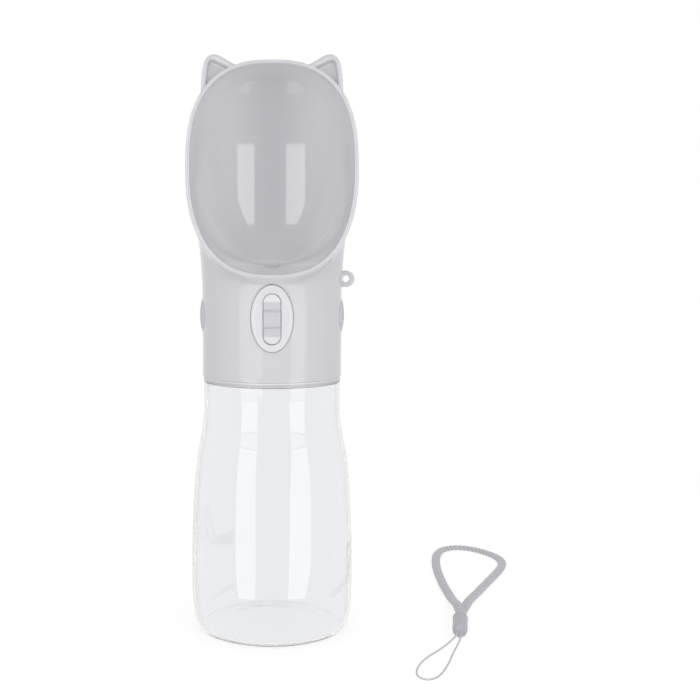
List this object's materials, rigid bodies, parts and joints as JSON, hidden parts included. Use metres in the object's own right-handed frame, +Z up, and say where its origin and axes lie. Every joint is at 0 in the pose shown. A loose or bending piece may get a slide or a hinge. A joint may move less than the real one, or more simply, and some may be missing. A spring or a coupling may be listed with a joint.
{
  "type": "dog travel water bottle",
  "caption": "Dog travel water bottle: clear waisted bottle under a screw-on grey scoop head with ears, press key, valve and a loose wrist strap.",
  "frame": {"origin": "centre of the flat base of the bottle", "axes": "+Z up through the bottle and its head, -Y towards the scoop and the key, +X to the user's right when facing the scoop, where the lanyard eyelet is"},
  "size_m": [0.1644, 0.2096, 0.2592],
  "materials": {
    "clear_plastic": "clear, glossy blown plastic",
    "head_plastic": "light grey, glossy moulded plastic",
    "cap_plastic": "light grey, moulded plastic",
    "inner_plastic": "natural white moulded plastic",
    "bezel_plastic": "white, glossy",
    "key_plastic": "light grey, satin",
    "pad": "soft matt grey",
    "silicone": "translucent white silicone",
    "seal_rubber": "black rubber",
    "steel": "stainless wire",
    "strap_braid": "light grey polyester braid",
    "ferrule_plastic": "grey, satin, slightly translucent",
    "string": "thin grey nylon string"
  },
  "bodies": {
    "bottle": {"bottle": "clear_plastic", "strap_band": "strap_braid", "strap_ferrule": "ferrule_plastic", "strap_string": "string"},
    "gasket": {"cap_gasket": "silicone"},
    "head": {"head_shell": "head_plastic", "thread_cap": "cap_plastic", "grip_pad_left": "pad", "grip_pad_right": "pad", "key_bezel": "bezel_plastic", "valve_body": "inner_plastic", "stem_oring": "seal_rubber", "valve_end_cap": "inner_plastic", "end_cap_oring": "seal_rubber", "port_seal": "silicone", "chimney_seal": "silicone", "valve_spring": "steel"},
    "key": {"water_key": "key_plastic", "valve_stem": "inner_plastic", "stem_clip": "steel", "valve_seal": "silicone"}
  },
  "joints": [
    {"name": "head_lift", "type": "slide", "parent": "bottle", "child": "gasket", "axis": [0, 0, 1], "range_m": [0, 0.005]},
    {"name": "head_turn", "type": "hinge", "parent": "gasket", "child": "head", "pos_m": [0, 0, 0.118], "axis": [0, 0, 1], "range_deg": [0, 450]},
    {"name": "key_press", "type": "slide", "parent": "head", "child": "key", "axis": [0, 1, 0], "range_m": [0, 0.0025], "stiffness_N_per_m": 900, "springref_m": -0.001, "deforming": ["valve_spring"]}
  ],
  "couplings": [
    {"joint": "head_lift", "follows": "head_turn", "m_per_rad": 0.000636}
  ]
}
